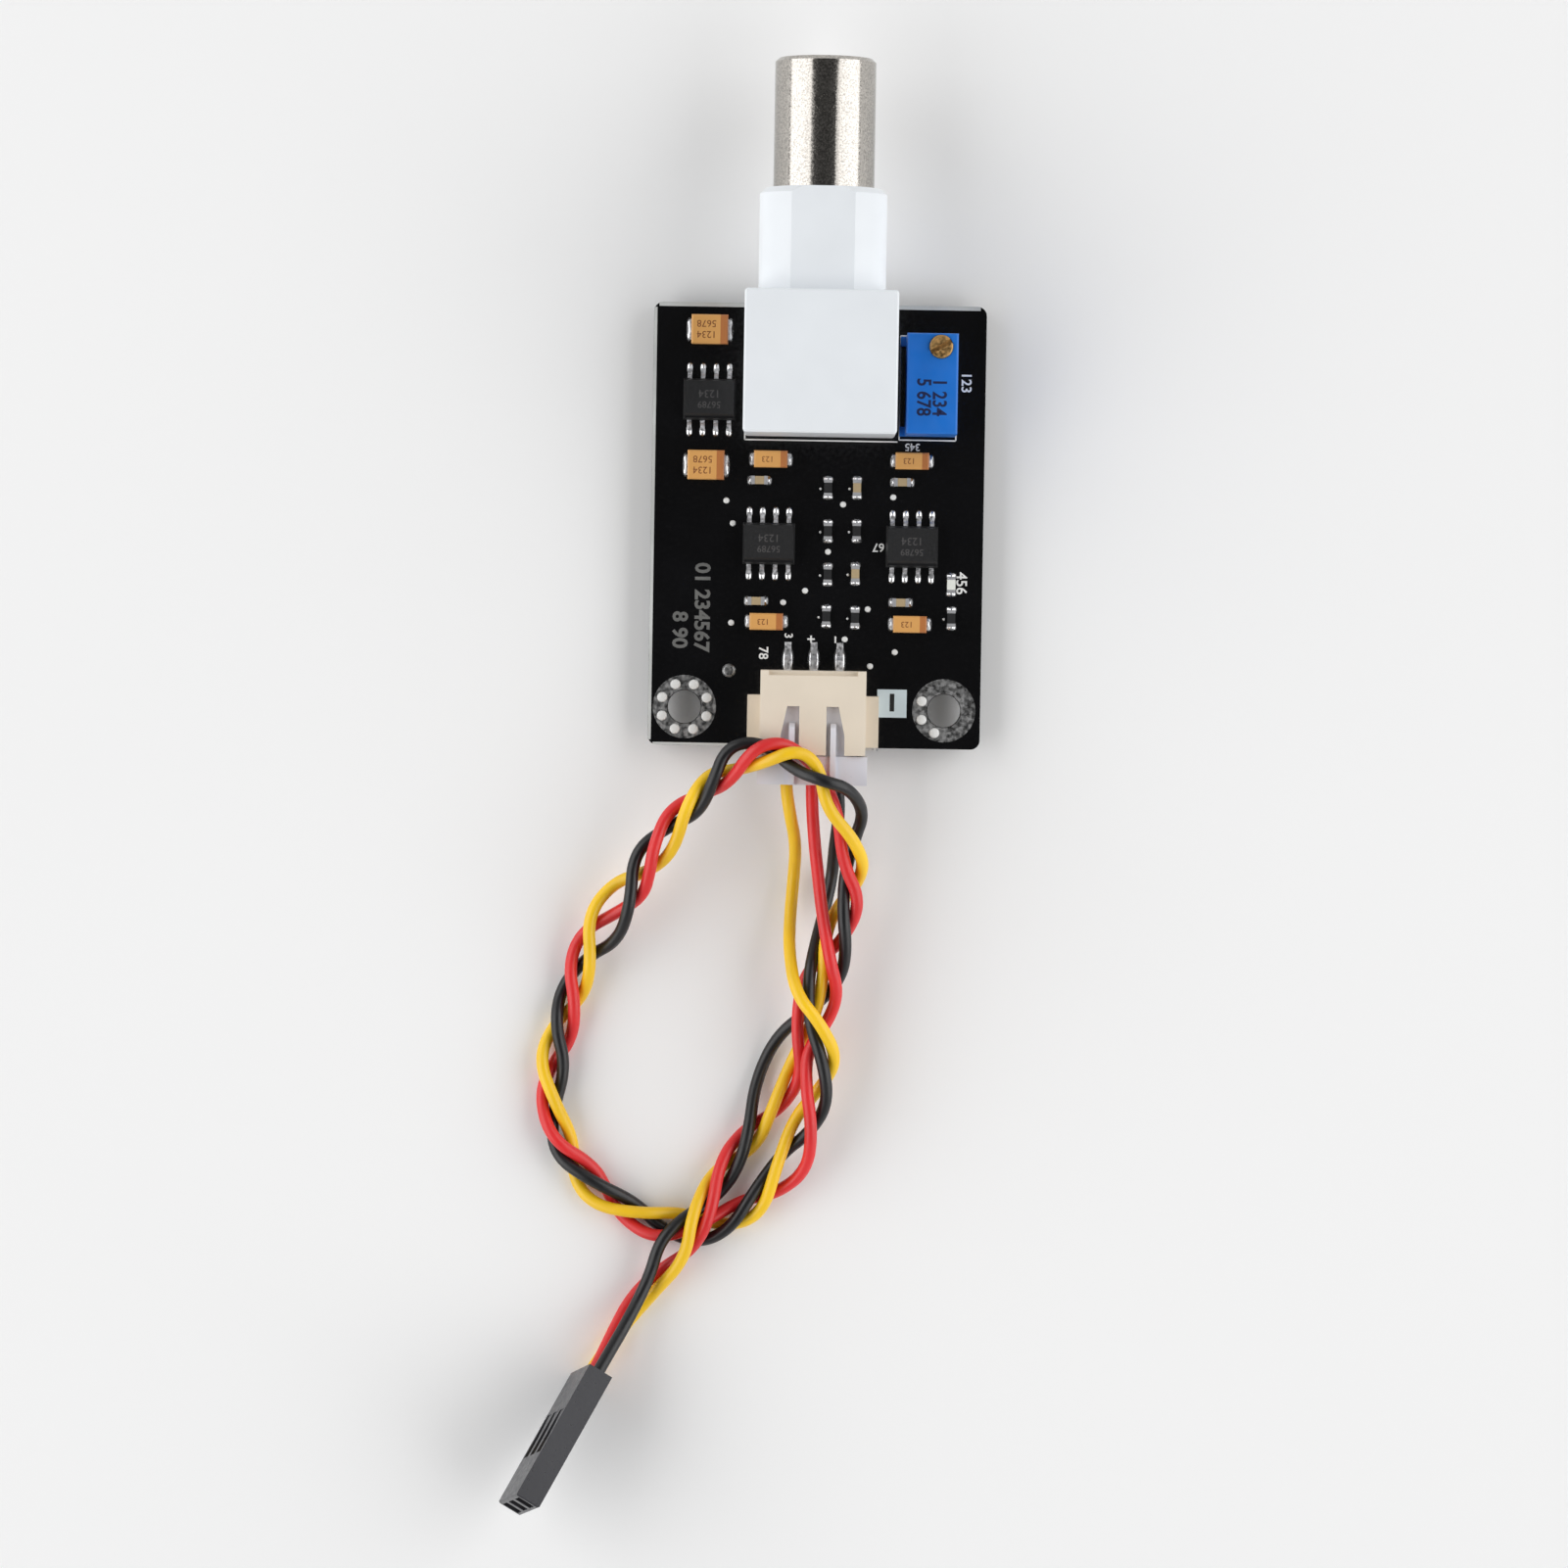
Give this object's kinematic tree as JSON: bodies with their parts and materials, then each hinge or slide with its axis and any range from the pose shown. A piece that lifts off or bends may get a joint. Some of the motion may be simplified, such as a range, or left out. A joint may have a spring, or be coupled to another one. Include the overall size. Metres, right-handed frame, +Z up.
{
  "type": "pH probe interface circuit board",
  "caption": "Small black circuit board with a bayonet probe socket, a multi-turn trimmer, amplifier chips and a plugged-in twisted three-wire cable that ends in a jumper housing.",
  "frame": {"origin": "middle of the footprint of board, socket and header, without the cable, in the plane that the pin tails stand on", "axes": "+Z up from the board, +Y towards the mouth of the probe socket, +X to the side that carries the trimmer"},
  "size_m": [0.0451, 0.14, 0.0176],
  "materials": {
    "board": "glossy black solder mask",
    "solder": "bright tin solder",
    "socket_white": "slightly cool white moulded plastic",
    "nickel": "bright nickel plate",
    "insulator": "waxy white plastic",
    "gold": "gold plate",
    "tinned": "bright tin plate",
    "trimmer_blue": "semi-gloss moulded plastic",
    "trimmer_base": "plain potting compound",
    "brass": "dull turned brass",
    "seal": "soft rubber",
    "rotor": "natural moulded plastic",
    "ceramic": "fired ceramic with a dark printed track",
    "header": "beige moulded plastic",
    "plug": "white moulded plastic",
    "chip_black": "dark moulded epoxy",
    "tantalum": "tan moulded epoxy with a darker end band",
    "ceramic_chip": "tan fired chip with plated ends",
    "resistor": "black film with plated ends",
    "lamp": "clear lens on a white base",
    "jumper": "dark moulded plastic",
    "yellow_wire": "smooth wire insulation",
    "red_wire": "smooth wire insulation",
    "black_wire": "smooth wire insulation"
  },
  "bodies": {
    "board_assembly": {"bnc_barrel": "nickel", "bnc_center_contact": "gold", "bnc_ground_contact": "tinned", "bnc_housing": "socket_white", "bnc_insulator": "insulator", "bnc_mounting_posts": "tinned", "ceramic_capacitor_1": "ceramic_chip", "ceramic_capacitor_2": "ceramic_chip", "ceramic_capacitor_3": "ceramic_chip", "ceramic_capacitor_4": "ceramic_chip", "ceramic_capacitor_5": "ceramic_chip", "ceramic_capacitor_6": "ceramic_chip", "circuit_board": "board", "header_housing": "header", "header_pins": "tinned", "header_solder_tabs": "tinned", "jumper_contacts": "gold", "jumper_housing": "jumper", "left_amplifier_body": "chip_black", "left_amplifier_leads": "tinned", "plug_contacts": "tinned", "plug_housing": "plug", "power_led": "lamp", "resistor_1": "resistor", "resistor_2": "resistor", "resistor_3": "resistor", "resistor_4": "resistor", "resistor_5": "resistor", "resistor_6": "resistor", "resistor_7": "resistor", "right_amplifier_body": "chip_black", "right_amplifier_leads": "tinned", "solder_joints": "solder", "supply_chip_body": "chip_black", "supply_chip_leads": "tinned", "tantalum_capacitor_1_body": "tantalum", "tantalum_capacitor_1_terminals": "tinned", "tantalum_capacitor_2_body": "tantalum", "tantalum_capacitor_2_terminals": "tinned", "tantalum_capacitor_3_body": "tantalum", "tantalum_capacitor_3_terminals": "tinned", "tantalum_capacitor_4_body": "tantalum", "tantalum_capacitor_4_terminals": "tinned", "tantalum_capacitor_5_body": "tantalum", "tantalum_capacitor_5_terminals": "tinned", "tantalum_capacitor_6_body": "tantalum", "tantalum_capacitor_6_terminals": "tinned", "trimmer_base": "trimmer_base", "trimmer_case": "trimmer_blue", "trimmer_element": "ceramic", "trimmer_pins": "tinned", "wire_black": "black_wire", "wire_red": "red_wire", "wire_yellow": "yellow_wire"},
    "adjusting_screw": {"trimmer_screw": "brass", "trimmer_seal": "seal"},
    "wiper_wheel": {"trimmer_rotor": "rotor", "trimmer_wiper": "gold"}
  },
  "joints": [
    {"name": "trimmer_screw_turn", "type": "hinge", "parent": "board_assembly", "child": "adjusting_screw", "pos_m": [0.01146, 0.0059, 0.008], "axis": [0, 0, 1], "range_deg": [-4500, 4500]},
    {"name": "trimmer_rotor_turn", "type": "hinge", "parent": "board_assembly", "child": "wiper_wheel", "pos_m": [0.01146, 0.00234, 0.008], "axis": [1, 0, 0], "range_deg": [-150, 150]}
  ],
  "couplings": [
    {"joint": "trimmer_rotor_turn", "follows": "trimmer_screw_turn", "ratio": -0.033333}
  ]
}
